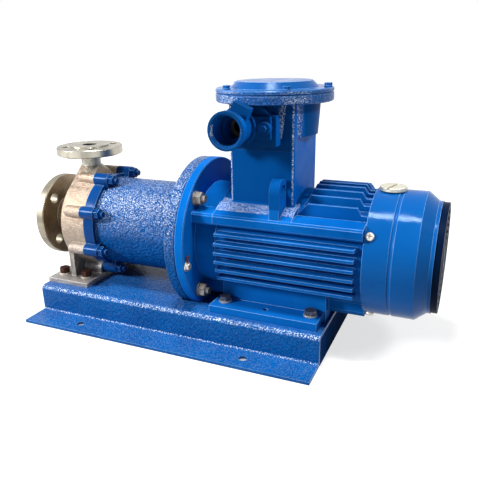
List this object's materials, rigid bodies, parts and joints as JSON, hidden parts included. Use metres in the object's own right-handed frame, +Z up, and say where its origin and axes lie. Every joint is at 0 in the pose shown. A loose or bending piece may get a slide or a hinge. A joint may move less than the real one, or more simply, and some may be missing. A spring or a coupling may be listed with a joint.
{
  "type": "magnetic drive pump",
  "caption": "Sealless centrifugal pump: stainless casing, lantern with magnetic coupling and finned flange motor with terminal box, on a bent-steel base.",
  "frame": {"origin": "on the floor, midway between the four fixing holes of the base", "axes": "+X from the suction flange along the shaft to the fan end, +Y to the rear side away from the cable entry, +Z up"},
  "size_m": [0.6945, 0.33, 0.397],
  "materials": {
    "base_paint": "hammered gloss blue paint",
    "bracket_paint": "hammered gloss blue paint over cast iron",
    "motor_paint": "smooth gloss blue paint over cast iron",
    "stainless": "sand-cast stainless steel, machined on the flange faces and rims",
    "fastener_zinc": "zinc plated",
    "fastener_dark": "dark plated, a little rusty",
    "earth_brass": "yellow passivated",
    "gasket": "moulded",
    "carbide": "lapped silicon carbide",
    "magnet": "sintered",
    "carrier_steel": "turned steel",
    "bearing_steel": "ground",
    "lamination": "stacked sheet",
    "winding": "varnished copper",
    "fan_plastic": "moulded",
    "board_plastic": "moulded",
    "terminal_brass": "turned"
  },
  "bodies": {
    "pump_unit": {"base_plate": "base_paint", "base_end_plates": "base_paint", "pump_casing": "stainless", "casing_gasket": "gasket", "bearing_housing": "stainless", "front_bearing_bush": "carbide", "rear_bearing_bush": "carbide", "can_gasket": "gasket", "isolation_can": "stainless", "bracket": "bracket_paint", "casing_studs": "fastener_zinc", "casing_nuts": "bracket_paint", "pump_foot_bolts": "fastener_dark", "pump_foot_nuts": "fastener_zinc", "drive_end_shield": "motor_paint", "shaft_seal": "gasket", "drive_end_bearing": "bearing_steel", "drive_bearing_cap": "carrier_steel", "motor_frame": "motor_paint", "stator_core": "lamination", "stator_winding": "winding", "rear_bearing": "bearing_steel", "rear_end_shield": "motor_paint", "shield_screws": "fastener_dark", "rear_shield_bolts": "fastener_dark", "flange_bolts": "fastener_zinc", "flange_nuts": "fastener_zinc", "motor_foot_bolts": "fastener_dark", "motor_foot_nuts": "fastener_zinc", "fan_cover": "motor_paint", "fan_cover_screws": "fastener_zinc", "fan_cover_plug": "fastener_zinc", "terminal_box": "motor_paint", "terminal_cover": "motor_paint", "cover_bolts": "fastener_dark", "box_screws": "fastener_dark", "terminal_board": "board_plastic", "terminal_studs": "terminal_brass", "cable_gland": "motor_paint", "gland_seal": "gasket", "gland_bolts": "fastener_dark", "earth_screw": "earth_brass"},
    "drive_rotor": {"outer_magnet_carrier": "carrier_steel", "outer_magnets": "magnet", "shaft_key": "carrier_steel", "hub_washer": "fastener_zinc", "hub_screw": "fastener_zinc", "motor_shaft": "carrier_steel", "rotor_core": "lamination", "cooling_fan": "fan_plastic", "fan_circlip": "fastener_zinc"},
    "pump_rotor": {"impeller": "stainless", "impeller_nut": "stainless", "pump_shaft": "stainless", "shaft_sleeves": "carbide", "thrust_collars": "carbide", "inner_magnet_carrier": "carrier_steel", "inner_magnets": "magnet", "inner_magnet_sheath": "stainless", "rotor_lock_nut": "stainless"}
  },
  "joints": [
    {"name": "motor_shaft_spin", "type": "hinge", "parent": "pump_unit", "child": "drive_rotor", "pos_m": [0.032, 0, 0.15], "axis": [1, 0, 0], "continuous": true},
    {"name": "pump_rotor_spin", "type": "hinge", "parent": "pump_unit", "child": "pump_rotor", "pos_m": [-0.15, 0, 0.15], "axis": [1, 0, 0], "continuous": true}
  ],
  "couplings": [
    {"joint": "pump_rotor_spin", "follows": "motor_shaft_spin", "ratio": 1}
  ]
}
